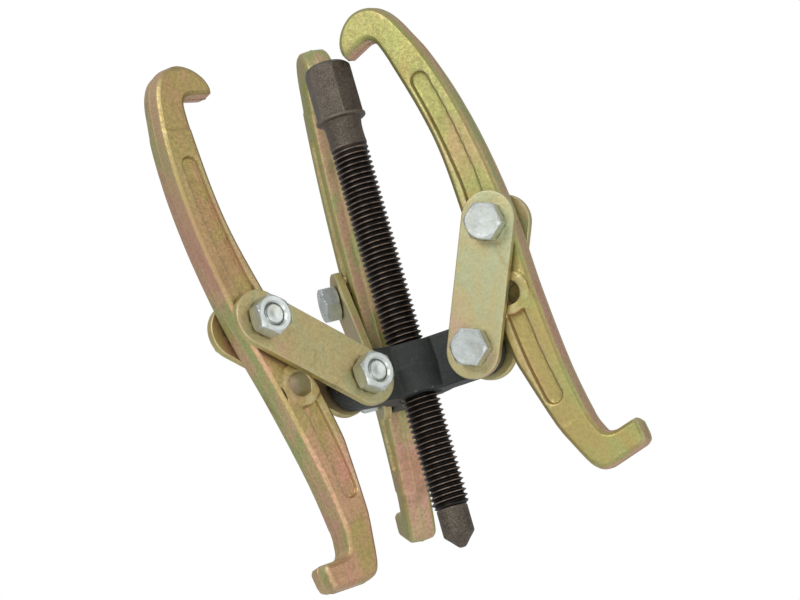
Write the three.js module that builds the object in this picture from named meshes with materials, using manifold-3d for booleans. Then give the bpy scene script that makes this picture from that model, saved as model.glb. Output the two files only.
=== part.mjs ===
// Three-jaw gear puller: a forcing screw through a three-lug yoke, and on each lug two link
// plates that carry a double-ended jaw with an inward hook at one end and an outward foot at
// the other. Millimetres, +Z up along the screw, origin at the screw's point.
import * as THREE from 'three';
import { mergeVertices } from 'three/addons/utils/BufferGeometryUtils.js';
import Module from 'manifold-3d';

// Forcing screw, as heights above its point
const SCREW_R = 6.95;
const POINT_FLAT_R = 0.9;
const POINT_R = 5.8;
const POINT_CONE_TOP = 4.9;
const POINT_TOP = 14.9;
const SPIGOT_R = 3;
const SPIGOT_LENGTH = 7;
const THREAD_BOTTOM = 15.2;
const THREAD_TOP = 152.3;
const NECK_TOP = 164;
const NECK_WAIST_R = 6.8;
const COLLAR_R = 9.5;
const COLLAR_TOP = 165.4;
const HEX_FLATS = 16;
const HEX_SHOULDER = 182.8;
const HEX_TOP = 186.9;
const HEX_TURN = THREE.MathUtils.degToRad(4);

// Yoke, centred on the height of its pivots
const YOKE_Z = 66.4;
const HUB_R = 14.5;
const HUB_HALF = 9.5;
const LUG_HALF = 9.9;
const LUG_END_X = 25.5;
const PIVOT_X = 28.4;

// Fits shared by lugs, jaws, links and bolts
const GAP = 0.3;
const BOSS_HALF = 6.6;
const LINK_T = 3.2;
const LINK_IN = BOSS_HALF + GAP;
const LINK_OUT = LINK_IN + LINK_T;
const SEAT = LINK_OUT + GAP;
const BOLT_R = 4;
const HOLE_R = BOLT_R + GAP;
const BOLT_FLATS = 13;
const HEAD_T = 5.3;
const NUT_T = 6.4;
const BOLT_END = SEAT + NUT_T - 0.2;

// Link plates
const LINK_C = 45;
const LINK_HALF = 10.2;
const LINK_END_PAST = 1.4;

// Jaws, drawn upright about the upper hole
const JAW_HALF = 5.8;
const BEVEL = 1.3;
const HOLE_PITCH = 26;
const BOSS_R = 8.1;
const CHANNEL_HALF = 3.7;
const CHANNEL_DEPTH = 1.3;

// The three arms: bearing round the screw, link lean and jaw lean from upright, in degrees
const ARMS = [
  { name: 'a', bearing: 210, linkLean: 55.5, jawLean: 22.8 },
  { name: 'b', bearing: 330, linkLean: 23.8, jawLean: 2.4 },
  { name: 'c', bearing: 93, linkLean: 27.5, jawLean: 1 },
];

const ROUND = 24;
const rad = THREE.MathUtils.degToRad;

const wasm = await Module();
wasm.setup();

const MATERIALS = {
  yellowZinc: { color: 0xb09a52, roughness: 0.42, metalness: 0.85 },
  linkZinc: { color: 0xb3a35e, roughness: 0.36, metalness: 0.85 },
  whiteZinc: { color: 0xc3cac6, roughness: 0.33, metalness: 0.9 },
  blackYoke: { color: 0x2a2f30, roughness: 0.6, metalness: 0.5 },
  brownScrew: { color: 0x322b27, roughness: 0.5, metalness: 0.6 },
};

// ---- solids -------------------------------------------------------------------------------

function toManifold(geometry) {
  const bare = geometry.clone();
  bare.deleteAttribute('normal');
  bare.deleteAttribute('uv');
  const merged = mergeVertices(bare, 1e-4);
  return new wasm.Manifold(new wasm.Mesh({
    numProp: 3,
    vertProperties: new Float32Array(merged.attributes.position.array),
    triVerts: new Uint32Array(merged.index.array),
  }));
}

function toGeometry(solid) {
  const mesh = solid.getMesh();
  const indexed = new THREE.BufferGeometry();
  indexed.setAttribute('position', new THREE.BufferAttribute(mesh.vertProperties, 3));
  indexed.setIndex(new THREE.BufferAttribute(mesh.triVerts, 1));
  const flat = indexed.toNonIndexed();
  flat.computeVertexNormals();
  return flat;
}

// A solid of revolution about Z from [radius, height] pairs that start and end on the axis.
function turned(profile, segments = ROUND) {
  const points = profile.map(([r, z]) => new THREE.Vector2(r, z));
  return toManifold(new THREE.LatheGeometry(points, segments).rotateX(Math.PI / 2));
}

function rod(radius, bottom, top, segments = ROUND) {
  return turned([[0, bottom], [radius, bottom], [radius, top], [0, top]], segments);
}

function hexPrism(flats, bottom, top) {
  return rod(flats / Math.sqrt(3), bottom, top, 6);
}

// Turns a solid built along Z so that it lies along +Y.
const alongY = (solid) => solid.rotate([-90, 0, 0]);

// A plate in the XZ plane from a shape, spanning the two Y values.
function plate(shape, yLow, yHigh, curveSegments = 8) {
  const options = { depth: yHigh - yLow, bevelEnabled: false, curveSegments };
  const geometry = new THREE.ExtrudeGeometry(shape, options);
  geometry.rotateX(Math.PI / 2);
  geometry.translate(0, yHigh, 0);
  return toManifold(geometry);
}

function crossHole(x, z, radius = HOLE_R) {
  return alongY(rod(radius, -20, 20)).translate([x, 0, z]);
}

// ---- screw --------------------------------------------------------------------------------

function screwSolid() {
  const shaft = turned([
    [0, THREAD_BOTTOM], [SCREW_R - 0.9, THREAD_BOTTOM], [SCREW_R, THREAD_BOTTOM + 0.9],
    [SCREW_R, THREAD_TOP], [NECK_WAIST_R, THREAD_TOP + 2], [NECK_WAIST_R, NECK_TOP - 3],
    [SCREW_R + 0.3, NECK_TOP - 0.6], [COLLAR_R - 0.3, NECK_TOP], [COLLAR_R, NECK_TOP + 0.4],
    [COLLAR_R, COLLAR_TOP - 0.3], [COLLAR_R - 0.3, COLLAR_TOP], [0, COLLAR_TOP],
  ], 32);
  const corner = HEX_FLATS / Math.sqrt(3);
  const dome = turned([
    [0, COLLAR_TOP - 0.5], [corner + 1, COLLAR_TOP - 0.5], [corner + 1, HEX_SHOULDER - 0.8],
    [corner - 0.5, HEX_SHOULDER + 0.7], [corner - 1.9, HEX_TOP - 1.5],
    [corner - 3.9, HEX_TOP - 0.4], [corner - 6, HEX_TOP], [0, HEX_TOP],
  ]);
  const hex = hexPrism(HEX_FLATS, COLLAR_TOP - 0.5, HEX_TOP + 1)
    .rotate([0, 0, THREE.MathUtils.radToDeg(HEX_TURN)])
    .intersect(dome);
  const socket = rod(SPIGOT_R + GAP, THREAD_BOTTOM - 5, POINT_TOP + SPIGOT_LENGTH + GAP);
  return shaft.add(hex).subtract(socket);
}

function pointSolid() {
  return turned([
    [0, 0], [POINT_FLAT_R, 0], [POINT_FLAT_R + 0.9, 0.6], [POINT_R, POINT_CONE_TOP],
    [POINT_R, POINT_TOP], [SPIGOT_R, POINT_TOP], [SPIGOT_R, POINT_TOP + SPIGOT_LENGTH],
    [0, POINT_TOP + SPIGOT_LENGTH],
  ]);
}

// ---- yoke ---------------------------------------------------------------------------------

function yokeSolid() {
  const lugShape = new THREE.Shape();
  lugShape.moveTo(4, LUG_HALF);
  lugShape.lineTo(4, -LUG_HALF);
  lugShape.lineTo(LUG_END_X, -LUG_HALF);
  lugShape.absarc(LUG_END_X, 0, LUG_HALF, -Math.PI / 2, Math.PI / 2, false);
  const lug = plate(lugShape, -BOSS_HALF, BOSS_HALF).subtract(crossHole(PIVOT_X, 0));
  const hub = turned([
    [0, -HUB_HALF], [HUB_R - 0.8, -HUB_HALF], [HUB_R, -HUB_HALF + 0.8],
    [HUB_R, HUB_HALF - 0.8], [HUB_R - 0.8, HUB_HALF], [0, HUB_HALF],
  ], 36);
  return ARMS.reduce((body, arm) => body.add(lug.rotate([0, 0, arm.bearing])), hub)
    .subtract(rod(SCREW_R + GAP, -20, 20, 32));
}

// ---- links --------------------------------------------------------------------------------

// A link plate runs from its lower pivot at the origin to the upper one at +Z.
function linkSolid(yLow) {
  const shape = new THREE.Shape();
  shape.absarc(0, -LINK_END_PAST, LINK_HALF, Math.PI, 0, false);
  shape.absarc(0, LINK_C + LINK_END_PAST, LINK_HALF, 0, Math.PI, false);
  shape.closePath();
  return plate(shape, yLow, yLow + LINK_T, 6)
    .subtract(crossHole(0, 0))
    .subtract(crossHole(0, LINK_C));
}

// ---- jaws ---------------------------------------------------------------------------------

function jawOutline() {
  const v = (x, z) => new THREE.Vector2(x, z);
  const shape = new THREE.Shape();
  // claw tip, up over the round back of the hook and down the outer edge
  shape.moveTo(-40.2, 74.7);
  shape.splineThru([
    v(-41.7, 77.8), v(-41.3, 82.2), v(-38.8, 87), v(-34.6, 90.6), v(-29.6, 91.9),
    v(-24.8, 90.9), v(-20.8, 88.2), v(-17.6, 84.4), v(-14.7, 79.4), v(-9.4, 69.2),
    v(-2.6, 51), v(3.2, 29), v(7.7, 3), v(10.2, -26), v(13.9, -55), v(18, -74),
    v(20.4, -80),
  ]);
  // inner corner of the foot, toe and heel
  shape.splineThru([v(22.3, -82.7), v(25.3, -83)]);
  shape.lineTo(33, -80.6);
  shape.splineThru([v(34.6, -81.4), v(36.1, -87.2), v(36, -89.4), v(34.2, -91.3)]);
  shape.lineTo(20.6, -95.9);
  shape.splineThru([v(16.8, -95.6), v(13.4, -92.8), v(8.2, -84)]);
  // up the inner edge to the notch of the hook
  shape.splineThru([
    v(4.4, -76.4), v(-2.4, -57.6), v(-5.2, -48), v(-8.2, -26), v(-10.3, 0), v(-13, 28),
    v(-16.8, 46), v(-22.9, 65.6), v(-26.2, 74.6),
  ]);
  shape.splineThru([v(-28.6, 78.5), v(-31.4, 78.7)]);
  shape.closePath();
  return THREE.ShapeUtils.isClockWise(shape.getPoints(2))
    ? shape.getPoints(2).reverse()
    : shape.getPoints(2);
}

// Moves every vertex of an anticlockwise outline inwards by the same distance.
function inset(points, distance) {
  return points.map((p, i) => {
    const before = points[(i + points.length - 1) % points.length];
    const after = points[(i + 1) % points.length];
    const a = p.clone().sub(before).normalize();
    const b = after.clone().sub(p).normalize();
    const normal = new THREE.Vector2(-a.y - b.y, a.x + b.x).normalize();
    const miter = distance / Math.max(0.6, normal.dot(new THREE.Vector2(-b.y, b.x)));
    return p.clone().addScaledVector(normal, miter);
  });
}

// The jaw's bar: its outline with both faces set in by a bevel.
function jawBar() {
  const raw = jawOutline();
  const edge = raw.filter((p, i) => p.distanceTo(raw[(i + 1) % raw.length]) > 0.05);
  const face = inset(edge, BEVEL);
  const rings = [
    [face, JAW_HALF], [edge, JAW_HALF - BEVEL], [edge, BEVEL - JAW_HALF], [face, -JAW_HALF],
  ];
  const count = edge.length;
  const positions = rings.flatMap(([ring, y]) => ring.flatMap((p) => [p.x, y, p.y]));
  const index = [];
  for (let ring = 0; ring < rings.length - 1; ring += 1) {
    for (let i = 0; i < count; i += 1) {
      const a = ring * count + i;
      const b = ring * count + ((i + 1) % count);
      index.push(a, b, a + count, b, b + count, a + count);
    }
  }
  const last = (rings.length - 1) * count;
  THREE.ShapeUtils.triangulateShape(face, []).forEach(([a, b, c]) => {
    index.push(a, c, b, last + a, last + b, last + c);
  });
  const geometry = new THREE.BufferGeometry();
  geometry.setAttribute('position', new THREE.Float32BufferAttribute(positions, 3));
  geometry.setIndex(index);
  return toManifold(geometry);
}

// A round-ended groove along a curve, sunk into both faces.
function channel(controls) {
  const curve = new THREE.SplineCurve(controls.map(([x, z]) => new THREE.Vector2(x, z)));
  const along = curve.getSpacedPoints(8);
  const side = (sign) => along.map((p, i) => {
    const t = curve.getTangentAt(i / 8);
    return new THREE.Vector2(p.x - sign * t.y * CHANNEL_HALF, p.y + sign * t.x * CHANNEL_HALF);
  });
  const cap = (p, t, start) => [1, 2, 3, 4, 5].map((k) => {
    const angle = start + Math.atan2(t.y, t.x) - (k * Math.PI) / 6;
    const reach = new THREE.Vector2(Math.cos(angle), Math.sin(angle));
    return p.clone().addScaledVector(reach, CHANNEL_HALF);
  });
  const outline = [
    ...side(1), ...cap(along[8], curve.getTangentAt(1), Math.PI / 2),
    ...side(-1).reverse(), ...cap(along[0], curve.getTangentAt(0), -Math.PI / 2),
  ];
  const shape = new THREE.Shape(outline);
  const floor = JAW_HALF - CHANNEL_DEPTH;
  return plate(shape, floor, JAW_HALF + 2).add(plate(shape, -JAW_HALF - 2, -floor));
}

function jawSolid() {
  const boss = alongY(rod(BOSS_R, -BOSS_HALF, BOSS_HALF, 28));
  return jawBar()
    .subtract(channel([[-13.5, 58.4], [-9, 42], [-4.6, 20], [-3.4, 10]]))
    .subtract(channel([[0.6, -34], [3.4, -50], [7, -65.6]]))
    .add(boss)
    .add(boss.translate([0, 0, -HOLE_PITCH]))
    .subtract(crossHole(0, 0))
    .subtract(crossHole(0, -HOLE_PITCH));
}

// ---- bolts and nuts, along Y with the head on the -Y side -----------------------------------

function chamferedHex(bottom, top, chamferBottom) {
  const corner = BOLT_FLATS / Math.sqrt(3);
  const rim = BOLT_FLATS * 0.475;
  const low = chamferBottom ? [[rim, bottom], [corner + 0.2, bottom + 0.9]]
    : [[corner + 0.2, bottom]];
  const limit = turned([
    [0, bottom], ...low, [corner + 0.2, top - 0.9], [rim, top], [0, top],
  ]);
  return hexPrism(BOLT_FLATS, bottom, top).intersect(limit);
}

function boltSolid() {
  const head = chamferedHex(SEAT, SEAT + HEAD_T, false);
  const shank = turned([
    [0, -BOLT_END], [BOLT_R - 0.7, -BOLT_END], [BOLT_R, -BOLT_END + 0.7],
    [BOLT_R, SEAT + 1], [0, SEAT + 1],
  ], 20);
  return alongY(head.add(shank)).rotate([0, 0, 180]);
}

function nutSolid() {
  const body = chamferedHex(SEAT, SEAT + NUT_T, true).subtract(rod(HOLE_R, 0, 30, 20));
  return alongY(body);
}

// ---- assembly -----------------------------------------------------------------------------

function part(name, solid, material) {
  const mesh = new THREE.Mesh(toGeometry(solid), new THREE.MeshStandardMaterial(material));
  mesh.name = name;
  return mesh;
}

const jaw = jawSolid();
const nearLink = linkSolid(LINK_IN);
const farLink = linkSolid(-LINK_OUT);
const bolt = boltSolid();
const nut = nutSolid();

const puller = new THREE.Group();
puller.name = 'gear_puller';
puller.add(part('screw', screwSolid(), MATERIALS.brownScrew));
puller.add(part('screw_point', pointSolid(), MATERIALS.brownScrew));

const yoke = new THREE.Group();
yoke.position.z = YOKE_Z;
yoke.add(part('yoke', yokeSolid(), MATERIALS.blackYoke));
puller.add(yoke);

function fastener(name, turn) {
  const group = new THREE.Group();
  group.rotation.y = rad(turn);
  group.add(part(`bolt_${name}`, bolt, MATERIALS.whiteZinc));
  group.add(part(`nut_${name}`, nut, MATERIALS.whiteZinc));
  return group;
}

ARMS.forEach((arm, i) => {
  const side = new THREE.Group();
  side.rotation.z = rad(arm.bearing);
  yoke.add(side);

  const link = new THREE.Group();
  link.position.x = PIVOT_X;
  link.rotation.y = rad(arm.linkLean);
  link.add(part(`link_${arm.name}_nut_side`, nearLink, MATERIALS.linkZinc));
  link.add(part(`link_${arm.name}_head_side`, farLink, MATERIALS.linkZinc));
  link.add(fastener(`${arm.name}_yoke`, 11 + 17 * i));
  side.add(link);

  const outer = new THREE.Group();
  outer.position.z = LINK_C;
  outer.rotation.y = rad(arm.jawLean - arm.linkLean);
  outer.add(part(`jaw_${arm.name}`, jaw, MATERIALS.yellowZinc));
  link.add(outer);

  const outerFastener = fastener(`${arm.name}_jaw`, 5 + 23 * i);
  outerFastener.position.z = LINK_C;
  link.add(outerFastener);
});

export default puller;
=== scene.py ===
"""A reversible three-jaw gear puller: the looks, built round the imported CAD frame.

Each piece is modelled in millimetres in its own frame (X outwards from the screw, Y across
the arm, Z up) and placed by the same dimensions as the CAD. Objects are in metres.
"""

import math

import bmesh
import bpy
from mathutils import Matrix, Vector
from mathutils.geometry import delaunay_2d_cdt


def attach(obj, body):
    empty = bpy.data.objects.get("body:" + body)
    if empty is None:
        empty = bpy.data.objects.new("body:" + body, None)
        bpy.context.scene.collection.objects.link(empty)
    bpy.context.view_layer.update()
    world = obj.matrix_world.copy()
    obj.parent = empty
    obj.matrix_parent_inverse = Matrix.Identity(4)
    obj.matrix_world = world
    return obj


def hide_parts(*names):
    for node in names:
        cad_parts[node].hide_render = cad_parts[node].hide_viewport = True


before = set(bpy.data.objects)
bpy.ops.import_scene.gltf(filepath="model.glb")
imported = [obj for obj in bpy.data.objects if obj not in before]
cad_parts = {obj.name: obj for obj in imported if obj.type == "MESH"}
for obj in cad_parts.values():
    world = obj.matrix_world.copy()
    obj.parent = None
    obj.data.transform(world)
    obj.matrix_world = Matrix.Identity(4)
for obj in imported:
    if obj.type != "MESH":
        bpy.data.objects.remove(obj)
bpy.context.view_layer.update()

MM = 0.001
TAU = 2 * math.pi

# Points round a circle
SCREW_POINTS = 72
FASTENER_POINTS = 96
HOLE_POINTS = 40
LINE_POINTS = 48

# Forcing screw, heights above its point
SCREW_R = 7.0
PITCH = 2.0
THREAD_DEPTH = 1.2
THREAD_BOTTOM = 15.2
THREAD_TOP = 154.5
RUN_OUT = 6.0
NECK_TOP = 164.0
COLLAR_R = 9.45
COLLAR_TOP = 165.4
HEX_FLATS = 16.0
HEX_TOP = 186.8
HEX_CROWN = 4.6
HEX_CORNER_CUT = 0.08
HEX_TURN = math.radians(4)
POINT_R = 5.8
POINT_CONE_TOP = 4.9
NOSE_TOP = 14.9
SPIGOT_R = 3.0
SPIGOT_TOP = 21.8

# Yoke
YOKE_Z = 66.4
HUB_R = 14.3
HUB_HALF = 9.4
LUG_HALF = 9.8
LUG_END_X = 25.5
PIVOT_X = 28.4
BORE_MOUTH = 1.9
CUT_PAST = 12
YOKE_VOXEL = 0.42

# Shared fits
GAP = 0.3
BOSS_HALF = 6.6
LINK_T = 3.2
LINK_IN = BOSS_HALF + GAP
LINK_OUT = LINK_IN + LINK_T
SEAT = LINK_OUT + GAP
BOLT_R = 4.0
HOLE_R = BOLT_R + GAP
HOLE_EDGE = 0.45
BOLT_PITCH = 1.25
BOLT_FLATS = 13.0
HEAD_T = 5.3
NUT_T = 6.4
BOLT_END = SEAT + NUT_T - 0.2

# Links and jaws
LINK_C = 45.0
LINK_HALF = 10.15
LINK_END_PAST = 1.4
JAW_HALF = 5.8
HOLE_PITCH = 26.0
BOSS_R = 8.1
CHANNEL_HALF = 3.7
CHANNEL_DEPTH = 1.8
END_DROP = 0.3
STEP_BLEND = 0.3
BOSS_TOP_R = BOSS_R - 0.25
BOSS_FOOT_R = BOSS_R + 0.45
OUTLINE_STEP = 0.8

# Mesh cleaning, in metres
WELD = 4e-6
SLIVER = 1e-7

# Sockets of a colour mix node
MIX_FACTOR, MIX_A, MIX_B, MIX_RESULT = 0, 6, 7, 2

ARMS = {
    "a": {"bearing": 210, "link_lean": 55.5, "jaw_lean": 22.8,
          "jaw_film": "jaw_brown", "link_film": "link_warm"},
    "b": {"bearing": 330, "link_lean": 23.8, "jaw_lean": 2.4,
          "jaw_film": "jaw_green", "link_film": "link_cool"},
    "c": {"bearing": 93, "link_lean": 27.5, "jaw_lean": 1.0,
          "jaw_film": "jaw_green", "link_film": "link_warm"},
}


# ---- camera -------------------------------------------------------------------------------


def add_camera():
    """The camera looks slightly up at the puller from in front, rolled to its left."""
    right = Vector((0.95558, -0.11532, -0.27126))
    up = Vector((0.24563, -0.19715, 0.94912))
    back = Vector((-0.16292, -0.97358, -0.16006))
    place = Vector((-0.1444, -0.8788, -0.0512))
    data = bpy.data.cameras.new("camera")
    data.sensor_width = 36
    data.lens = 110.67
    data.clip_start = 0.05
    data.clip_end = 20
    camera = bpy.data.objects.new("camera", data)
    rows = [[right[i], up[i], back[i], place[i]] for i in range(3)]
    camera.matrix_world = Matrix(rows + [[0, 0, 0, 1]])
    bpy.context.scene.collection.objects.link(camera)
    bpy.context.scene.camera = camera


# ---- materials ----------------------------------------------------------------------------


# Colours of the chromate film, by noise value
PLATING = {
    "jaw_brown": [
        (0.30, (0.39, 0.24, 0.12)), (0.42, (0.49, 0.31, 0.15)), (0.50, (0.45, 0.35, 0.13)),
        (0.57, (0.56, 0.34, 0.19)), (0.68, (0.60, 0.31, 0.22)),
    ],
    "jaw_green": [
        (0.30, (0.52, 0.33, 0.17)), (0.42, (0.45, 0.37, 0.13)), (0.49, (0.40, 0.41, 0.14)),
        (0.57, (0.48, 0.37, 0.17)), (0.68, (0.59, 0.33, 0.22)),
    ],
    "jaw_edge": [
        (0.30, (0.62, 0.33, 0.22)), (0.42, (0.70, 0.40, 0.30)), (0.50, (0.66, 0.46, 0.27)),
        (0.55, (0.44, 0.50, 0.20)), (0.60, (0.62, 0.47, 0.24)), (0.68, (0.72, 0.38, 0.31)),
    ],
    "link_warm": [
        (0.30, (0.60, 0.43, 0.20)), (0.42, (0.57, 0.38, 0.23)), (0.50, (0.50, 0.42, 0.20)),
        (0.57, (0.46, 0.44, 0.24)), (0.68, (0.60, 0.35, 0.27)),
    ],
    "link_cool": [
        (0.30, (0.62, 0.47, 0.21)), (0.42, (0.55, 0.47, 0.20)), (0.50, (0.47, 0.49, 0.29)),
        (0.57, (0.52, 0.46, 0.24)), (0.68, (0.60, 0.38, 0.30)),
    ],
    "link_edge": [
        (0.30, (0.62, 0.47, 0.20)), (0.50, (0.55, 0.49, 0.20)), (0.68, (0.60, 0.38, 0.23)),
    ],
}


class Nodes:
    """A short way to write a material's node tree."""

    def __init__(self, name):
        self.material = bpy.data.materials.new(name)
        self.material.use_nodes = True
        self.tree = self.material.node_tree
        self.shader = self.tree.nodes["Principled BSDF"]
        self.coords = self.add("ShaderNodeTexCoord")

    def add(self, kind, **settings):
        node = self.tree.nodes.new(kind)
        for key, value in settings.items():
            setattr(node, key, value)
        return node

    def link(self, source, target):
        self.tree.links.new(source, target)

    def shifted(self, seed, stretch=(1, 1, 1)):
        mapping = self.add("ShaderNodeMapping")
        mapping.inputs["Location"].default_value = (seed * 0.37, seed * 0.61, seed * 0.83)
        mapping.inputs["Scale"].default_value = stretch
        self.link(self.coords.outputs["Object"], mapping.inputs["Vector"])
        return mapping.outputs["Vector"]

    def noise(self, vector, scale, detail, rough=0.55, distortion=0.0):
        node = self.add("ShaderNodeTexNoise")
        node.inputs["Scale"].default_value = scale
        node.inputs["Detail"].default_value = detail
        node.inputs["Roughness"].default_value = rough
        node.inputs["Distortion"].default_value = distortion
        self.link(vector, node.inputs["Vector"])
        return node.outputs["Fac"]

    def ramp(self, value, stops, smooth=False):
        node = self.add("ShaderNodeValToRGB")
        node.color_ramp.interpolation = "EASE" if smooth else "LINEAR"
        elements = node.color_ramp.elements
        while len(elements) < len(stops):
            elements.new(0.5)
        for element, (position, colour) in zip(elements, stops):
            element.position = position
            element.color = (*colour, 1)
        self.link(value, node.inputs["Fac"])
        return node.outputs["Color"]

    def span(self, value, low, high, to_low, to_high):
        node = self.add("ShaderNodeMapRange")
        for name, number in zip(
            ("From Min", "From Max", "To Min", "To Max"), (low, high, to_low, to_high)
        ):
            node.inputs[name].default_value = number
        self.link(value, node.inputs["Value"])
        return node.outputs["Result"]

    def math(self, operation, a, b=None):
        node = self.add("ShaderNodeMath", operation=operation)
        for socket, value in zip(node.inputs, (a, b)):
            if value is None:
                continue
            if isinstance(value, (int, float)):
                socket.default_value = value
            else:
                self.link(value, socket)
        return node.outputs["Value"]

    def mix(self, factor, a, b):
        node = self.add("ShaderNodeMix", data_type="RGBA")
        for socket, value in ((MIX_FACTOR, factor), (MIX_A, a), (MIX_B, b)):
            if isinstance(value, tuple):
                node.inputs[socket].default_value = (*value, 1)
            else:
                self.link(value, node.inputs[socket])
        return node.outputs[MIX_RESULT]

    def bump(self, height, distance, strength, after=None):
        node = self.add("ShaderNodeBump")
        node.inputs["Strength"].default_value = strength
        node.inputs["Distance"].default_value = distance
        self.link(height, node.inputs["Height"])
        if after is not None:
            self.link(after, node.inputs["Normal"])
        return node.outputs["Normal"]

    def across(self, axis):
        """How far the surface faces along the pivots' axis: 0 on an edge, 1 on a flat face."""
        facing = self.add("ShaderNodeVectorMath", operation="DOT_PRODUCT")
        self.link(self.coords.outputs["Normal"], facing.inputs[0])
        facing.inputs[1].default_value = axis
        return self.math("ABSOLUTE", facing.outputs["Value"])

    def finish(self, colour, rough, normal, metallic):
        self.link(colour, self.shader.inputs["Base Color"])
        self.link(rough, self.shader.inputs["Roughness"])
        self.link(normal, self.shader.inputs["Normal"])
        self.shader.inputs["Metallic"].default_value = metallic
        return self.material


def worn_edges(nodes, low, high):
    """1 along the outer edges, where plating has rubbed thin, and 0 elsewhere."""
    geometry = nodes.add("ShaderNodeNewGeometry")
    return nodes.span(geometry.outputs["Pointiness"], low, high, 0, 1)


def yellow_zinc(name, seed, face, edge, cloud, axis):
    """Yellow chromate over zinc: a straw film that drifts through pink, green and blue."""
    n = Nodes(name)
    drift = n.noise(n.shifted(seed), 17, 3, 0.5, 0.8)
    bands = n.noise(n.shifted(seed + 3, (1, 1, 0.35)), 46, 5, 0.6, 1.6)
    film = n.math("ADD", n.math("MULTIPLY", drift, 0.6), n.math("MULTIPLY", bands, 0.4))
    on_face = n.ramp(film, PLATING[face], True)
    on_edge = n.ramp(film, PLATING[edge], True)
    colour = n.mix(n.span(n.across(axis), 0.2, 0.5, 0, 1), on_edge, on_face)
    grain = n.noise(n.shifted(seed + 5), 900, 3, 0.7)
    pits = n.noise(n.shifted(seed + 7), 2600, 2, 0.6)
    colour = n.mix(n.span(grain, 0.4, 0.66, 0, cloud), colour, (0.30, 0.23, 0.10))
    colour = n.mix(n.span(pits, 0.6, 0.75, 0, 0.35), colour, (0.80, 0.74, 0.50))
    colour = n.mix(worn_edges(n, 0.515, 0.6), colour, (0.74, 0.66, 0.42))
    stain = n.noise(n.shifted(seed + 9), 60, 6, 0.7, 0.5)
    colour = n.mix(n.span(stain, 0.57, 0.7, 0, 0.5), colour, (0.22, 0.15, 0.07))
    rough = n.span(grain, 0.3, 0.7, 0.36, 0.56)
    normal = n.bump(grain, 0.00009, 0.55)
    normal = n.bump(n.noise(n.shifted(seed + 11), 150, 4, 0.6), 0.0004, 0.35, normal)
    return n.finish(colour, rough, normal, 0.86)


def white_zinc(name, seed):
    """Bright zinc plate on rolled steel: pale, cool, faintly blotched."""
    n = Nodes(name)
    cloud = n.noise(n.shifted(seed), 180, 4, 0.6, 0.6)
    colour = n.ramp(cloud, [
        (0.3, (0.50, 0.53, 0.50)), (0.5, (0.62, 0.66, 0.63)), (0.7, (0.72, 0.76, 0.74)),
    ])
    yellowed = n.noise(n.shifted(seed + 2), 90, 3, 0.5)
    colour = n.mix(n.span(yellowed, 0.55, 0.7, 0, 0.35), colour, (0.62, 0.58, 0.36))
    colour = n.mix(worn_edges(n, 0.54, 0.7), colour, (0.74, 0.76, 0.74))
    speck = n.noise(n.shifted(seed + 4), 1400, 3, 0.7)
    rough = n.span(speck, 0.3, 0.7, 0.26, 0.42)
    normal = n.bump(speck, 0.00005, 0.4)
    normal = n.bump(cloud, 0.0002, 0.25, normal)
    return n.finish(colour, rough, normal, 0.92)


def black_casting(name):
    """Black oxide over a shot-blasted casting."""
    n = Nodes(name)
    sand = n.noise(n.shifted(1), 1100, 4, 0.7)
    cloud = n.noise(n.shifted(2), 70, 4, 0.6)
    colour = n.ramp(cloud, [(0.35, (0.014, 0.018, 0.017)), (0.65, (0.032, 0.036, 0.033))])
    colour = n.mix(worn_edges(n, 0.54, 0.64), colour, (0.10, 0.095, 0.080))
    colour = n.mix(n.span(sand, 0.58, 0.7, 0, 0.4), colour, (0.11, 0.11, 0.10))
    rough = n.span(sand, 0.3, 0.7, 0.42, 0.64)
    normal = n.bump(sand, 0.00024, 0.9)
    normal = n.bump(cloud, 0.0007, 0.35, normal)
    return n.finish(colour, rough, normal, 0.35)


def brown_phosphate(name, seed):
    """Brown-black phosphate with an oily sheen, rubbed pale along the sharp crests."""
    n = Nodes(name)
    sand = n.noise(n.shifted(seed), 1900, 4, 0.7)
    cloud = n.noise(n.shifted(seed + 1), 120, 5, 0.65)
    colour = n.ramp(cloud, [
        (0.3, (0.045, 0.035, 0.025)), (0.55, (0.085, 0.068, 0.050)), (0.7, (0.13, 0.105, 0.080)),
    ])
    colour = n.mix(n.span(sand, 0.44, 0.62, 0, 0.62), colour, (0.24, 0.20, 0.155))
    colour = n.mix(worn_edges(n, 0.53, 0.62), colour, (0.30, 0.24, 0.18))
    rough = n.span(sand, 0.3, 0.7, 0.34, 0.6)
    normal = n.bump(sand, 0.0002, 0.9)
    return n.finish(colour, rough, normal, 0.55)


def thread_steel(name):
    """The screw's thread: painted shade darkens the roots, with a thin bright line worn on each
    crest.
    """
    n = Nodes(name)
    split = n.add("ShaderNodeSeparateXYZ")
    n.link(n.coords.outputs["Object"], split.inputs["Vector"])
    x2 = n.math("MULTIPLY", split.outputs["X"], split.outputs["X"])
    y2 = n.math("MULTIPLY", split.outputs["Y"], split.outputs["Y"])
    radius = n.math("SQRT", n.math("ADD", x2, y2))
    root = (SCREW_R - THREAD_DEPTH) * MM
    crest = n.span(radius, root + 0.85 * MM, SCREW_R * MM, 0, 1)
    grime = n.noise(n.shifted(2), 420, 4, 0.6)
    # Painted shade: the colour runs from near black in the thread's roots up to dark brown at the
    # crests.
    colour = n.ramp(n.span(radius, root, SCREW_R * MM, 0, 1), [
        (0.0, (0.006, 0.0045, 0.0035)), (0.6, (0.020, 0.015, 0.011)), (1.0, (0.05, 0.038, 0.030)),
    ])
    rubbed = n.math("MULTIPLY", n.math("POWER", crest, 7.0), n.span(grime, 0.35, 0.6, 0.2, 0.9))
    colour = n.mix(rubbed, colour, (0.42, 0.31, 0.24))
    rough = n.span(grime, 0.3, 0.7, 0.3, 0.5)
    normal = n.bump(n.noise(n.shifted(4), 1500, 3, 0.7), 0.00006, 0.5)
    return n.finish(colour, rough, normal, 0.6)


# ---- meshes -------------------------------------------------------------------------------


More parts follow.
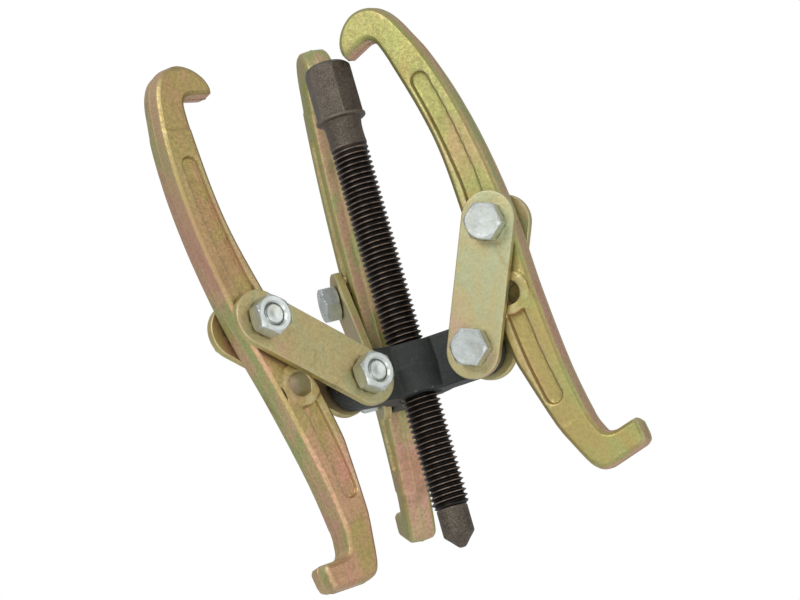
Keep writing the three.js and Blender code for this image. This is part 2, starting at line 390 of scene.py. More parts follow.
def add_piece(name, verts, faces, place, material, node, body, slot, crease):
    """A closed piece from vertices in millimetres, which stands for one CAD node."""
    mesh = bpy.data.meshes.new(name)
    mesh.from_pydata([Vector(v) * MM for v in verts], [], faces)
    tidy_mesh(mesh, crease)
    mesh.transform(place)
    piece = bpy.data.objects.new(name, mesh)
    bpy.context.scene.collection.objects.link(piece)
    mesh.materials.append(material)
    smooth = piece.modifiers.new("even_normals", "WEIGHTED_NORMAL")
    smooth.keep_sharp = True
    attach(piece, body)
    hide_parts(node)
    return piece


def tidy_mesh(mesh, crease):
    """Welds a mesh and shades it smooth, apart from edges that bend past the crease angle."""
    bm = bmesh.new()
    bm.from_mesh(mesh)
    bmesh.ops.remove_doubles(bm, verts=bm.verts, dist=WELD)
    bmesh.ops.dissolve_degenerate(bm, edges=bm.edges, dist=SLIVER)
    bmesh.ops.recalc_face_normals(bm, faces=bm.faces)
    limit = math.radians(crease)
    for face in bm.faces:
        face.smooth = True
    for edge in bm.edges:
        edge.smooth = edge.calc_face_angle(0) < limit
    bm.to_mesh(mesh)
    bm.free()


def ring_strip(rings, close_ends=True):
    """Faces between rings of equal vertex count, with the two end rings filled."""
    count = len(rings[0])
    verts = [v for ring in rings for v in ring]
    faces = []
    for k in range(len(rings) - 1):
        for i in range(count):
            j = (i + 1) % count
            faces.append((k * count + i, k * count + j, (k + 1) * count + j, (k + 1) * count + i))
    if close_ends:
        faces.append(tuple(reversed(range(count))))
        faces.append(tuple((len(rings) - 1) * count + i for i in range(count)))
    return verts, faces


def circle(radius, z, count):
    return [
        (radius * math.cos(TAU * i / count), radius * math.sin(TAU * i / count), z)
        for i in range(count)
    ]


def lathe(profile, count):
    """A closed solid turned about Z from (radius, height) pairs."""
    return ring_strip([circle(max(r, 0.02), z, count) for r, z in profile])


def joined(*solids):
    verts, faces = [], []
    for more_verts, more_faces in solids:
        base = len(verts)
        verts += list(more_verts)
        faces += [tuple(base + i for i in face) for face in more_faces]
    return verts, faces


def moved(solid, matrix):
    verts, faces = solid
    return [matrix @ Vector(v) for v in verts], faces


def hex_radius(angle, apothem):
    """The radius of a hexagon at an angle, its corners slightly rounded."""
    folded = (angle + math.pi / 6) % (math.pi / 3) - math.pi / 6
    sharp = apothem / math.cos(folded)
    limit = apothem / math.cos(math.pi / 6) - HEX_CORNER_CUT
    return min(sharp, limit)


def hex_rings(apothem, heights, cap_radius, turn=0.0):
    """Rings of a hexagon that is cut by a turned cap: cap_radius gives its radius at a height."""
    rings = []
    for z in heights:
        ring = []
        for i in range(FASTENER_POINTS):
            angle = TAU * i / FASTENER_POINTS
            radius = min(hex_radius(angle, apothem), cap_radius(z))
            ring.append((radius * math.cos(angle + turn), radius * math.sin(angle + turn), z))
        rings.append(ring)
    return rings


# ---- screw --------------------------------------------------------------------------------


def thread_radius(z, angle):
    """The M14 thread's surface: flat crests and roots, with flanks at 60 degrees."""
    phase = ((z - THREAD_BOTTOM) / PITCH - angle / TAU) % 1.0
    away = abs(phase - 0.5) * 2
    depth = THREAD_DEPTH * min(1, max(0, (away - 0.12) / 0.66))
    run_out = min(1, max(0, (THREAD_TOP - z) / RUN_OUT))
    radius = SCREW_R - depth * run_out
    return min(radius, POINT_R + 0.1 + max(0, z - THREAD_BOTTOM) * 0.9)


def thread_solid():
    """The threaded stretch, in rows that follow the helix so that each crest is sharp."""
    around = SCREW_POINTS
    marks = (0.0, 0.11, 0.25, 0.44, 0.5, 0.56, 0.75, 0.89)
    turns = int((THREAD_TOP - THREAD_BOTTOM) / PITCH) + 2
    rings = []
    for turn in range(-1, turns):
        for mark in marks:
            ring = []
            for i in range(around + 1):
                angle = TAU * i / around
                z = THREAD_BOTTOM + PITCH * (turn + mark + angle / TAU)
                z = min(THREAD_TOP, max(THREAD_BOTTOM, z))
                radius = thread_radius(z, angle)
                ring.append((radius * math.cos(angle), radius * math.sin(angle), z))
            rings.append(ring)
    count = around + 1
    verts = [v for ring in rings for v in ring]
    faces = []
    for k in range(len(rings) - 1):
        for i in range(around):
            a = k * count + i
            faces.append((a, a + 1, a + 1 + count, a + count))
    return verts, faces


def screw_solid():
    neck = ring_strip([
        circle(radius, z, SCREW_POINTS) for radius, z in [
            (SCREW_R - 0.05, THREAD_TOP), (6.95, THREAD_TOP + 0.6), (6.86, THREAD_TOP + 1.5),
            (6.82, THREAD_TOP + 4), (6.9, NECK_TOP - 3.2), (7.25, NECK_TOP - 1.2),
            (7.9, NECK_TOP - 0.3), (COLLAR_R - 0.45, NECK_TOP), (COLLAR_R - 0.1, NECK_TOP + 0.25),
            (COLLAR_R, NECK_TOP + 0.7), (COLLAR_R - 0.1, COLLAR_TOP - 0.2),
            (COLLAR_R - 0.5, COLLAR_TOP + 0.05), (8.6, COLLAR_TOP + 0.1),
        ]
    ], close_ends=False)
    start = ring_strip([
        circle(radius, THREAD_BOTTOM, SCREW_POINTS) for radius in (3.4, POINT_R + 0.1)
    ], close_ends=False)

    crown = HEX_TOP - HEX_CROWN

    def cap(z):
        """The crown's rounded top: no limit below it, then a curve drawn in to a small flat."""
        drop = z - crown
        if drop <= 0:
            return 20.0
        along = min(1.0, drop / HEX_CROWN)
        return 3.2 + 6.1 * math.sqrt(max(0.0, 1 - along ** 2.1))

    heights = [COLLAR_TOP - 0.4, COLLAR_TOP + 0.2, 170, 175, 180, crown]
    heights += [crown + HEX_CROWN * math.sin(math.pi / 2 * k / 16) for k in range(1, 17)]
    head = ring_strip(hex_rings(HEX_FLATS / 2, heights, cap, HEX_TURN))
    return joined(thread_solid(), neck, start, head)


def point_solid():
    return lathe([
        (0.02, 0.0), (0.85, 0.02), (1.25, 0.18), (1.75, 0.6), (3.4, 2.45),
        (POINT_R - 0.35, POINT_CONE_TOP - 0.35), (POINT_R - 0.06, POINT_CONE_TOP + 0.1),
        (POINT_R, POINT_CONE_TOP + 0.5), (POINT_R, 8), (POINT_R, 11), (POINT_R, 14.4),
        (POINT_R - 0.15, NOSE_TOP - 0.05), (POINT_R - 0.4, NOSE_TOP), (SPIGOT_R, NOSE_TOP),
        (SPIGOT_R, SPIGOT_TOP), (0.02, SPIGOT_TOP),
    ], FASTENER_POINTS)


# ---- yoke ---------------------------------------------------------------------------------


def scratch_object(solid, name):
    mesh = bpy.data.meshes.new(name)
    mesh.from_pydata([Vector(v) * MM for v in solid[0]], [], solid[1])
    tidy_mesh(mesh, 30)
    made = bpy.data.objects.new(name, mesh)
    bpy.context.scene.collection.objects.link(made)
    return made


def modified_mesh(target):
    """The target's mesh with its modifiers applied, as a new mesh."""
    graph = bpy.context.evaluated_depsgraph_get()
    return bpy.data.meshes.new_from_object(target.evaluated_get(graph))


def lug_ring(half_width, inset):
    """The outline of a lug in XZ at one Y, drawn in by an inset."""
    top = LUG_HALF - inset
    points = [(3.0, half_width, -top), (LUG_END_X * 0.5, half_width, -top)]
    for k in range(25):
        angle = -math.pi / 2 + math.pi * k / 24
        points.append((LUG_END_X + top * math.cos(angle), half_width, top * math.sin(angle)))
    points += [(LUG_END_X * 0.5, half_width, top), (3.0, half_width, top)]
    return points


def yoke_mesh():
    """Hub and lugs bored, then remeshed and relaxed so that every edge is a cast radius."""
    hub = lathe([
        (0.02, -HUB_HALF), (HUB_R - 1.0, -HUB_HALF), (HUB_R - 0.25, -HUB_HALF + 0.6),
        (HUB_R, -0.45), (HUB_R + 0.25, -0.25), (HUB_R + 0.25, 0.25), (HUB_R, 0.45),
        (HUB_R - 0.25, HUB_HALF - 0.6), (HUB_R - 1.0, HUB_HALF), (0.02, HUB_HALF),
    ], FASTENER_POINTS)
    rings = [
        lug_ring(-BOSS_HALF + 0.1, 0.5), lug_ring(-BOSS_HALF + 0.4, 0.1),
        lug_ring(BOSS_HALF - 0.4, 0.1), lug_ring(BOSS_HALF - 0.1, 0.5),
    ]
    lug = ring_strip(rings)
    pin = [(0.02, -CUT_PAST), (HOLE_R, -CUT_PAST), (HOLE_R, CUT_PAST), (0.02, CUT_PAST)]
    pivot = moved(lathe(pin, 48), Matrix.Translation((PIVOT_X, 0, 0))
                  @ Matrix.Rotation(math.pi / 2, 4, "X"))
    bore_r = SCREW_R + GAP
    bore = lathe([
        (0.02, -CUT_PAST), (bore_r + BORE_MOUTH, -HUB_HALF - 0.6), (bore_r, -HUB_HALF + 1.2),
        (bore_r, HUB_HALF - 1.2), (bore_r + BORE_MOUTH, HUB_HALF + 0.6), (0.02, CUT_PAST),
    ], 64)
    spins = [Matrix.Rotation(math.radians(arm["bearing"]), 4, "Z") for arm in ARMS.values()]
    body = scratch_object(hub, "yoke_hub")
    tools = []
    steps = [("UNION", lug, spin) for spin in spins]
    steps += [("DIFFERENCE", pivot, spin) for spin in spins]
    steps.append(("DIFFERENCE", bore, Matrix.Identity(4)))
    for number, (operation, solid, spin) in enumerate(steps):
        tool = scratch_object(moved(solid, spin), f"yoke_tool_{number}")
        tools.append(tool)
        cut = body.modifiers.new(f"step_{number}", "BOOLEAN")
        cut.operation = operation
        cut.object = tool
        cut.solver = "EXACT"
    remesh = body.modifiers.new("cast", "REMESH")
    remesh.mode = "VOXEL"
    remesh.voxel_size = YOKE_VOXEL * MM
    relax = body.modifiers.new("radius", "SMOOTH")
    relax.factor = 0.5
    relax.iterations = 5
    bpy.context.view_layer.update()
    mesh = modified_mesh(body)
    for tool in [body, *tools]:
        bpy.data.objects.remove(tool)
    for face in mesh.polygons:
        face.use_smooth = True
    return mesh


def add_yoke(material):
    mesh = yoke_mesh()
    mesh.transform(Matrix.Translation((0, 0, YOKE_Z * MM)))
    mesh.materials.clear()
    mesh.materials.append(material)
    piece = bpy.data.objects.new("yoke_casting", mesh)
    bpy.context.scene.collection.objects.link(piece)
    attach(piece, "yoke")
    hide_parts("yoke")


# ---- outlines -----------------------------------------------------------------------------


def spline_through(points, step):
    """Catmull-Rom through the points, resampled to about the step; both ends are kept."""
    padded = [points[0] * 2 - points[1], *points, points[-1] * 2 - points[-2]]
    fine = []
    for a, b, c, d in zip(padded, padded[1:], padded[2:], padded[3:]):
        for k in range(24):
            t = k / 24
            fine.append(0.5 * (
                2 * b + (c - a) * t + (2 * a - 5 * b + 4 * c - d) * t * t
                + (3 * b - a - 3 * c + d) * t ** 3
            ))
    fine.append(points[-1])
    return evenly(fine, step)


def evenly(line, step):
    """The line resampled to equal lengths of about the step."""
    lengths = [0.0]
    for a, b in zip(line, line[1:]):
        lengths.append(lengths[-1] + (b - a).length)
    count = max(2, round(lengths[-1] / step))
    result, at = [], 0
    for k in range(count + 1):
        target = lengths[-1] * k / count
        while at < len(line) - 2 and lengths[at + 1] < target:
            at += 1
        span = max(1e-9, lengths[at + 1] - lengths[at])
        result.append(line[at].lerp(line[at + 1], min(1, (target - lengths[at]) / span)))
    return result


def rounded_loop(line):
    """Rounds the corners of a closed line by averaging each point with its neighbours."""
    count = len(line)
    return [(line[i - 1] + line[i] * 2 + line[(i + 1) % count]) / 4 for i in range(count)]


def loop_normals(line):
    """Unit normals into an anticlockwise loop."""
    count = len(line)
    normals = []
    for i in range(count):
        along = (line[(i + 1) % count] - line[i - 1]).normalized()
        normals.append(Vector((-along.y, along.x)))
    return normals


def to_segment(point, a, b):
    """The distance from a point to a segment, which may have no length."""
    side = b - a
    t = max(0.0, min(1.0, (point - a).dot(side) / max(1e-12, side.dot(side))))
    return (a + side * t - point).length


def inset_loop(line, distance, normals):
    """The loop drawn in by a distance; points that would fold over gather at the corner."""
    if distance == 0:
        return list(line)
    count = len(line)
    drawn = [point + normal * distance for point, normal in zip(line, normals)]
    reach = int(distance / 0.4) + 4
    clear = []
    for i, point in enumerate(drawn):
        nearest = min(
            to_segment(point, line[(i + k) % count], line[(i + k + 1) % count])
            for k in range(-reach, reach)
        )
        clear.append(nearest > distance * 0.96)
    first = clear.index(True)
    order = [(first + k) % count for k in range(count + 1)]
    start = 0
    while start < count:
        end = start + 1
        while not clear[order[end]]:
            end += 1
        a, b = drawn[order[start]], drawn[order[end]]
        for k in range(start + 1, end):
            drawn[order[k]] = a.lerp(b, (k - start) / (end - start))
        start = end
    return drawn


def inside_loop(point, loop, margin=0.0):
    """Whether a point is inside a loop and at least the margin from it."""
    inside = False
    nearest = 1e9
    for a, b in zip(loop, loop[1:] + loop[:1]):
        if (a.y > point.y) != (b.y > point.y):
            if point.x < a.x + (point.y - a.y) * (b.x - a.x) / (b.y - a.y):
                inside = not inside
        if margin and abs(a.x - point.x) < margin + 3 and abs(a.y - point.y) < margin + 3:
            nearest = min(nearest, to_segment(point, a, b))
    return inside and nearest > margin


def forged_plate(outline, wall, holes, features, base, relief, grid):
    """A plate lying in XZ, symmetric in Y.

    wall lists (inset, half thickness) from the outline inwards; holes lists (x, z, radius);
    features are lines the face creases along; relief(point) is the face's half thickness, and
    base(point) scales the wall to meet it; grid is the spacing of the face's other points.
    """
    normals = loop_normals(outline)
    count = len(outline)
    verts, faces = [], []

    def add_ring(points, heights):
        start = len(verts)
        verts.extend((p.x, y, p.y) for p, y in zip(points, heights))
        return start

    face_loop = inset_loop(outline, wall[-1][0], normals)
    for side in (1, -1):
        starts = []
        for inset, share in wall:
            ring = inset_loop(outline, inset, normals)
            starts.append(add_ring(ring, [side * share * base(p) for p in ring]))
        for low, high in zip(starts, starts[1:]):
            for i in range(count):
                j = (i + 1) % count
                faces.append((low + i, low + j, high + j, high + i))

    points = list(face_loop)
    edges = [(i, (i + 1) % count) for i in range(count)]
    for x, z, radius in holes:
        start = len(points)
        for k in range(HOLE_POINTS):
            angle = TAU * k / HOLE_POINTS
            points.append(Vector((x + radius * math.cos(angle), z + radius * math.sin(angle))))
            edges.append((start + k, start + (k + 1) % HOLE_POINTS))
    for line in features:
        kept = None
        for point in line:
            if inside_loop(point, face_loop, 0.35):
                points.append(point)
                if kept is not None:
                    edges.append((kept, len(points) - 1))
                kept = len(points) - 1
            else:
                kept = None
    low_x, high_x = min(p.x for p in face_loop), max(p.x for p in face_loop)
    low_z, high_z = min(p.y for p in face_loop), max(p.y for p in face_loop)
    x = low_x
    while x < high_x:
        z = low_z
        while z < high_z:
            point = Vector((x, z))
            clear = all((point - Vector(h[:2])).length > h[2] + 0.5 for h in holes)
            if clear and inside_loop(point, face_loop, 0.6):
                points.append(point)
            z += grid
        x += grid
    found = delaunay_2d_cdt(points, edges, [], 1, 1e-5)
    flat, triangles = found[0], found[2]
    for side in (1, -1):
        start = len(verts)
        verts.extend((p.x, side * relief(p), p.y) for p in flat)
        for triangle in triangles:
            middle = sum((flat[i] for i in triangle), Vector((0, 0))) / len(triangle)
            in_hole = any((middle - Vector(h[:2])).length < h[2] * 0.985 for h in holes)
            if not in_hole and inside_loop(middle, face_loop):
                order = triangle if side < 0 else tuple(reversed(triangle))
                faces.append(tuple(start + i for i in order))

    for x, z, radius in holes:
        rings = []
        turns = [TAU * k / HOLE_POINTS for k in range(HOLE_POINTS)]
        top = relief(Vector((x + radius, z)))
        inner = radius - HOLE_EDGE
        for r, y in ((radius, top), (inner, top - HOLE_EDGE), (inner, HOLE_EDGE - top),
                     (radius, -top)):
            rings.append([(x + r * math.cos(t), y, z + r * math.sin(t)) for t in turns])
        more_verts, more_faces = ring_strip(rings, close_ends=False)
        start = len(verts)
        verts.extend(more_verts)
        faces.extend(tuple(start + i for i in face) for face in more_faces)
    return verts, faces


# ---- jaw ----------------------------------------------------------------------------------

OUTER_EDGE = [
    (-40.2, 74.7), (-41.6, 77.8), (-41.3, 82.2), (-38.8, 87), (-34.6, 90.6), (-29.6, 91.8),
    (-24.8, 90.9), (-20.8, 88.2), (-17.6, 84.4), (-14.7, 79.4), (-9.4, 69.2), (-2.6, 51),
    (3.2, 29), (7.7, 3), (10.2, -26), (13.9, -55), (18, -74), (20.4, -80), (22.3, -82.7),
    (25.3, -83),
]
TOE = [(25.3, -83), (33, -80.6), (34.9, -82), (36, -87.2), (35.9, -89.6), (34.2, -91.3),
       (20.6, -95.8)]
INNER_EDGE = [
    (20.6, -95.8), (16.8, -95.5), (13.4, -92.8), (8.2, -84), (4.4, -76.4), (-2.4, -57.6),
    (-5.2, -48), (-8.2, -26), (-10.3, 0), (-13, 28), (-16.8, 46), (-22.9, 65.6),
    (-26.2, 74.6), (-28.4, 78.3), (-31.4, 78.7),
]
UPPER_CHANNEL = [(-13.5, 58.4), (-9, 42), (-4.6, 20), (-3.4, 8)]
LOWER_CHANNEL = [(0.6, -32), (3.4, -50), (7, -65.6)]
HOOK_STEP = ((-13.2, 73.2), (-24.4, 68.2))
FOOT_STEP = ((17.4, -74.4), (5.4, -78.2))


def vectors(pairs):
    return [Vector(pair) for pair in pairs]


def jaw_outline():
    outer = spline_through(vectors(OUTER_EDGE), OUTLINE_STEP)
    toe = []
    for a, b in zip(TOE, TOE[1:]):
        toe += evenly(vectors((a, b)), OUTLINE_STEP)[:-1]
    inner = spline_through(vectors(INNER_EDGE), OUTLINE_STEP)
    claw = evenly(vectors((INNER_EDGE[-1], OUTER_EDGE[0])), OUTLINE_STEP)
    loop = outer[:-1] + toe + inner[:-1] + claw[:-1]
    loop = rounded_loop(loop)
    area = sum(a.x * b.y - b.x * a.y for a, b in zip(loop, loop[1:] + loop[:1]))
    return loop if area > 0 else loop[::-1]


def beyond(point, step, sign):
    """Signed distance of a point past a step line."""
    a, b = Vector(step[0]), Vector(step[1])
    along = (b - a).normalized()
    off = point - a
    return sign * (along.x * off.y - along.y * off.x)


def ramp01(value, low, high):
    """Rises smoothly from 0 at low to 1 at high."""
    t = min(1.0, max(0.0, (value - low) / (high - low)))
    return t * t * (3 - 2 * t)


def distance_to_line(point, line):
    return min(to_segment(point, a, b) for a, b in zip(line, line[1:]))


def offset_line(line, distance):
    """A closed line at one distance all round an open one, with round ends."""
    count = len(line)
    left, right = [], []
    for i, point in enumerate(line):
        along = (line[min(i + 1, count - 1)] - line[max(i - 1, 0)]).normalized()
        normal = Vector((-along.y, along.x))
        left.append(point + normal * distance)
        right.append(point - normal * distance)

    def end(point, towards):
        start = math.atan2(towards.y, towards.x) + math.pi / 2
        angles = [start - math.pi * k / 12 for k in range(1, 12)]
        return [point + Vector((math.cos(a), math.sin(a))) * distance for a in angles]

    loop = left + end(line[-1], line[-1] - line[-2])
    loop += right[::-1] + end(line[0], line[0] - line[1])
    return loop + [loop[0]]


def ring_line(x, z, radius):
    angles = [TAU * k / LINE_POINTS for k in range(LINE_POINTS + 1)]
    return [Vector((x + radius * math.cos(a), z + radius * math.sin(a))) for a in angles]


def jaw_solid():
    channels = [spline_through(vectors(line), 1.2) for line in (UPPER_CHANNEL, LOWER_CHANNEL)]
    bosses = (Vector((0, 0)), Vector((0, -HOLE_PITCH)))

    def base(point):
        past_hook = ramp01(beyond(point, HOOK_STEP, -1), -STEP_BLEND, STEP_BLEND)
        past_foot = ramp01(beyond(point, FOOT_STEP, 1), -STEP_BLEND, STEP_BLEND)
        return (JAW_HALF - END_DROP * max(past_hook, past_foot)) / JAW_HALF

    def relief(point):
        level = JAW_HALF * base(point)
        away = min(distance_to_line(point, line) for line in channels)
        level -= CHANNEL_DEPTH * (1 - ramp01(away, CHANNEL_HALF - 0.9, CHANNEL_HALF))
        near_boss = min((point - boss).length for boss in bosses)
        raised = 1 - ramp01(near_boss, BOSS_TOP_R, BOSS_FOOT_R)
        return level + (BOSS_HALF - 0.05 - level) * raised

    features = []
    for line in channels:
        for reach in (0.02, -0.22, -0.45, -0.68, -0.92):
            features.append(offset_line(line, CHANNEL_HALF + reach))
    for boss in bosses:
        features += [ring_line(*boss, BOSS_TOP_R), ring_line(*boss, BOSS_FOOT_R)]
    for step in (HOOK_STEP, FOOT_STEP):
        a, b = vectors(step)
        normal = Vector((-(b - a).y, (b - a).x)).normalized() * STEP_BLEND
        for offset in (normal, -normal):
            features.append(evenly([a + offset, b + offset], 1.0))
    wall = [
        (0.0, 0.0), (0.0, 0.22), (0.16, 0.32), (0.2, 0.9), (0.34, 2.6), (0.5, 3.9),
        (0.62, 4.5), (0.85, 4.85), (1.7, 5.6), (1.95, 5.74), (2.2, JAW_HALF),
    ]
    holes = [(0, z, HOLE_R + HOLE_EDGE) for z in (0, -HOLE_PITCH)]
    return forged_plate(jaw_outline(), wall, holes, features, base, relief, 1.7)


# ---- link ---------------------------------------------------------------------------------


def link_solid(y_low):
    """A stamped plate from its lower pivot at the origin to the upper one at +Z."""
    sides = 38
    step = (LINK_C + 2 * LINK_END_PAST) / sides
    right = [Vector((LINK_HALF, step * k - LINK_END_PAST)) for k in range(sides + 1)]

    def end_arc(centre_z, start):
        steps = 30
        return [
            Vector((
                LINK_HALF * math.cos(start + math.pi * k / steps),
                centre_z + LINK_HALF * math.sin(start + math.pi * k / steps),
            )) for k in range(1, steps)
        ]

    left = [Vector((-p.x, p.y)) for p in reversed(right)]
    outline = (
        right + end_arc(LINK_C + LINK_END_PAST, 0) + left + end_arc(-LINK_END_PAST, math.pi)
    )
    half = LINK_T / 2
    wall = [(0.0, 0.0), (0.0, 0.45), (0.02, 1.15), (0.1, 1.38), (0.28, 1.54), (0.5, half)]
    holes = [(0, z, HOLE_R + HOLE_EDGE) for z in (0, LINK_C)]
    features = [ring_line(0, z, 7.6) for z in (0, LINK_C)]
    solid = forged_plate(outline, wall, holes, features, lambda _: 1.0, lambda _: half, 3.0)
    return moved(solid, Matrix.Translation((0, y_low + half, 0)))


# ---- bolts and nuts -----------------------------------------------------------------------


def capped_hex(bottom, top, chamfer_bottom, inner):
    """A hexagon chamfered by a 30 degree cone, its top drawn in to the inner radius."""
    apothem = BOLT_FLATS / 2
    corner = apothem / math.cos(math.pi / 6)
    rim = apothem * 0.95
    slope = math.tan(math.radians(30))

    def cap(z):
        limit = rim + (top - z) / slope
        if chamfer_bottom:
            limit = min(limit, rim + (z - bottom) / slope)
        return min(limit, corner + 1)

    low = [bottom, bottom + 0.25, bottom + 0.5, bottom + 0.75, bottom + 1.0]
    high = [top - 1.0, top - 0.75, top - 0.5, top - 0.25, top]
    middle = [bottom + (top - bottom) * k / 4 for k in (1, 2, 3)]
    heights = (low if chamfer_bottom else [bottom]) + middle + high
    rings = hex_rings(apothem, heights, cap)
    for radius, dip in inner:
        rings.append(circle(radius, top - dip, FASTENER_POINTS))
    return rings


def bolt_solid():
    head = capped_hex(SEAT, SEAT + HEAD_T, False, [
        (5.9, 0.0), (5.2, 0.03), (4.6, 0.06), (2.0, 0.08), (0.05, 0.07),
    ])
    shank_rings = []
    for radius, z in [
        (0.05, -BOLT_END + 0.12), (1.1, -BOLT_END + 0.1), (1.5, -BOLT_END), (3.1, -BOLT_END),
        (3.35, -BOLT_END + 0.15),
    ]:
        shank_rings.append(circle(radius, z, FASTENER_POINTS))
    z = -BOLT_END + 0.5
    while z < -LINK_OUT + 0.8:
        shank_rings.append(circle(3.42, z, FASTENER_POINTS))
        shank_rings.append(circle(3.95, z + 0.5, FASTENER_POINTS))
        shank_rings.append(circle(3.95, z + 0.7, FASTENER_POINTS))
        z += BOLT_PITCH
    shank_rings += [circle(BOLT_R, end, FASTENER_POINTS) for end in (z, SEAT + 1)]
    solid = joined(ring_strip(head), ring_strip(shank_rings))
    turn = Matrix.Rotation(math.pi / 2, 4, "X")
    return moved(solid, turn)


def nut_solid():
    bore = BOLT_R + 0.12
    rings = capped_hex(SEAT, SEAT + NUT_T, True, [(5.7, 0.0), (4.75, 0.02), (bore, 0.65)])
    z = SEAT + NUT_T - 0.9
    while z > SEAT + 1.4:
        rings.append(circle(bore + 0.3, z, FASTENER_POINTS))
        rings.append(circle(bore, z - 0.6, FASTENER_POINTS))
        z -= BOLT_PITCH
    rings += [circle(bore, SEAT + 0.6, FASTENER_POINTS), circle(4.7, SEAT, FASTENER_POINTS)]
    verts, faces = ring_strip(rings + [rings[0]], close_ends=False)
    turn = Matrix.Rotation(-math.pi / 2, 4, "X")
    return moved((verts, faces), turn)


# ---- assembly -----------------------------------------------------------------------------


def turned_y(degrees):
    return Matrix.Rotation(math.radians(degrees), 4, "Y")


def shift(x=0.0, z=0.0):
    return Matrix.Translation((x * MM, 0, z * MM))


def add_fastener(name, solids, place, turn, seed, body):
    """A bolt and its nut, turned together about their pivot."""
    place = place @ turned_y(turn)
    add_piece(f"bolt_steel_{name}", *solids["bolt"], place, white_zinc(f"bolt_zinc_{name}", seed),
              f"bolt_{name}", body, "white_zinc", 26)
    add_piece(f"nut_steel_{name}", *solids["nut"], place,
              white_zinc(f"nut_zinc_{name}", seed + 20), f"nut_{name}", body, "white_zinc", 26)


def add_arm(name, arm, number, solids):
    """Two link plates, a jaw and two pivots, standing as their bearing and leans say."""
    root = Matrix.Rotation(math.radians(arm["bearing"]), 4, "Z") @ shift(PIVOT_X, YOKE_Z)
    axis = root.to_3x3() @ Vector((0, 1, 0))
    link = root @ turned_y(arm["link_lean"])
    jaw = link @ shift(z=LINK_C) @ turned_y(arm["jaw_lean"] - arm["link_lean"])
    for side in ("nut_side", "head_side"):
        zinc = yellow_zinc(f"link_zinc_{name}_{side}", number * 7 + len(side),
                           arm["link_film"], "link_edge", 0.3, axis)
        add_piece(f"link_plate_{name}_{side}", *solids[side], link, zinc,
                  f"link_{name}_{side}", f"link_{name}", "link_zinc", 40)
    zinc = yellow_zinc(f"jaw_zinc_{name}", number * 11 + 2, arm["jaw_film"], "jaw_edge", 0.5,
                       axis)
    add_piece(f"jaw_forging_{name}", *solids["jaw"], jaw, zinc, f"jaw_{name}", f"jaw_{name}",
              "jaw_zinc", 62)
    add_fastener(f"{name}_yoke", solids, link, 11 + 17 * number, number * 5 + 1, f"link_{name}")
    add_fastener(f"{name}_jaw", solids, link @ shift(z=LINK_C), 5 + 23 * number,
                 number * 5 + 3, f"link_{name}")


# ---- studio -------------------------------------------------------------------------------


def add_light(name, place, aim, size, power):
    data = bpy.data.lights.new(name, "AREA")
    data.shape = "RECTANGLE"
    data.size, data.size_y = size
    data.energy = power
    light = bpy.data.objects.new(name, data)
    light.location = place
    light.rotation_euler = (Vector(aim) - Vector(place)).to_track_quat("-Z", "Y").to_euler()
    bpy.context.scene.collection.objects.link(light)


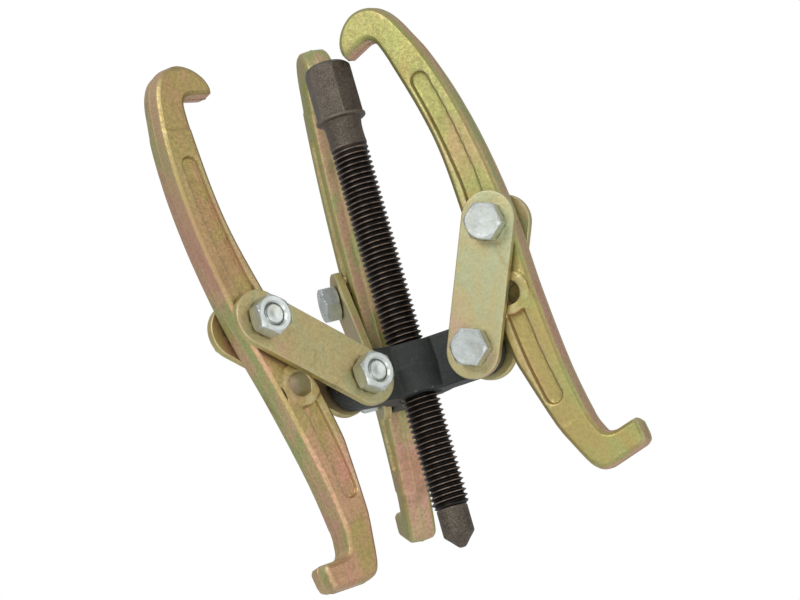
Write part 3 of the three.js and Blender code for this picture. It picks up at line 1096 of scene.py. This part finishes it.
def add_sky():
    """A white backdrop that lights the object from above more than from below."""
    world = bpy.data.worlds.new("studio")
    world.use_nodes = True
    tree = world.node_tree
    backdrop = tree.nodes["Background"]
    backdrop.inputs["Strength"].default_value = 1.0
    coords = tree.nodes.new("ShaderNodeTexCoord")
    split = tree.nodes.new("ShaderNodeSeparateXYZ")
    tree.links.new(coords.outputs["Generated"], split.inputs["Vector"])
    height = tree.nodes.new("ShaderNodeMapRange")
    height.inputs["From Min"].default_value = -1
    height.inputs["From Max"].default_value = 1
    tree.links.new(split.outputs["Z"], height.inputs["Value"])
    shade = tree.nodes.new("ShaderNodeValToRGB")
    shade.color_ramp.elements[0].color = (0.16, 0.16, 0.165, 1)
    shade.color_ramp.elements[1].color = (0.62, 0.63, 0.65, 1)
    tree.links.new(height.outputs["Result"], shade.inputs["Fac"])
    path = tree.nodes.new("ShaderNodeLightPath")
    seen = tree.nodes.new("ShaderNodeMix")
    seen.data_type = "RGBA"
    seen.inputs[MIX_B].default_value = (1, 1, 1, 1)
    tree.links.new(path.outputs["Is Camera Ray"], seen.inputs[MIX_FACTOR])
    tree.links.new(shade.outputs["Color"], seen.inputs[MIX_A])
    tree.links.new(seen.outputs[MIX_RESULT], backdrop.inputs["Color"])
    bpy.context.scene.world = world


def add_studio():
    add_sky()
    bpy.context.scene.view_settings.view_transform = "Standard"
    middle = (0, 0, 0.09)
    add_light("key", (-0.55, -0.75, 0.75), middle, (0.6, 0.6), 5.2)
    add_light("fill", (0.85, -0.6, 0.25), middle, (0.5, 0.9), 1.4)
    add_light("low", (-0.2, -0.7, -0.12), middle, (0.9, 0.3), 1.2)

    mesh = bpy.data.meshes.new("floor")
    half, z = 6.0, -0.30
    mesh.from_pydata([(-half, -half, z), (half, -half, z), (half, half, z), (-half, half, z)],
                     [], [(0, 1, 2, 3)])
    floor = bpy.data.objects.new("floor", mesh)
    bpy.context.scene.collection.objects.link(floor)
    pale = Nodes("floor_paper")
    fibre = pale.noise(pale.shifted(0), 300, 3)
    colour = pale.ramp(fibre, [(0.3, (0.90, 0.90, 0.90)), (0.7, (0.94, 0.94, 0.94))])
    pale.finish(colour, pale.span(fibre, 0, 1, 0.8, 0.95), pale.bump(fibre, 0.0001, 0.2), 0.0)
    mesh.materials.append(pale.material)


add_camera()
add_studio()

arm_solids = {
    "jaw": jaw_solid(),
    "nut_side": link_solid(LINK_IN),
    "head_side": link_solid(-LINK_OUT),
    "bolt": bolt_solid(),
    "nut": nut_solid(),
}

screw = add_piece("screw_steel", *screw_solid(), Matrix.Identity(4),
                  thread_steel("screw_thread"), "screw", "screw", "screw_brown", 30)
screw.data.materials.append(brown_phosphate("screw_plain", 4))
for polygon in screw.data.polygons:
    if polygon.center.z > (THREAD_TOP - 1.0) * MM:
        polygon.material_index = 1
add_piece("point_steel", *point_solid(), Matrix.Identity(4),
          brown_phosphate("point_phosphate", 8), "screw_point", "point", "screw_brown", 30)
add_yoke(black_casting("yoke_oxide"))
for index, (arm_name, arm_pose) in enumerate(ARMS.items()):
    add_arm(arm_name, arm_pose, index, arm_solids)
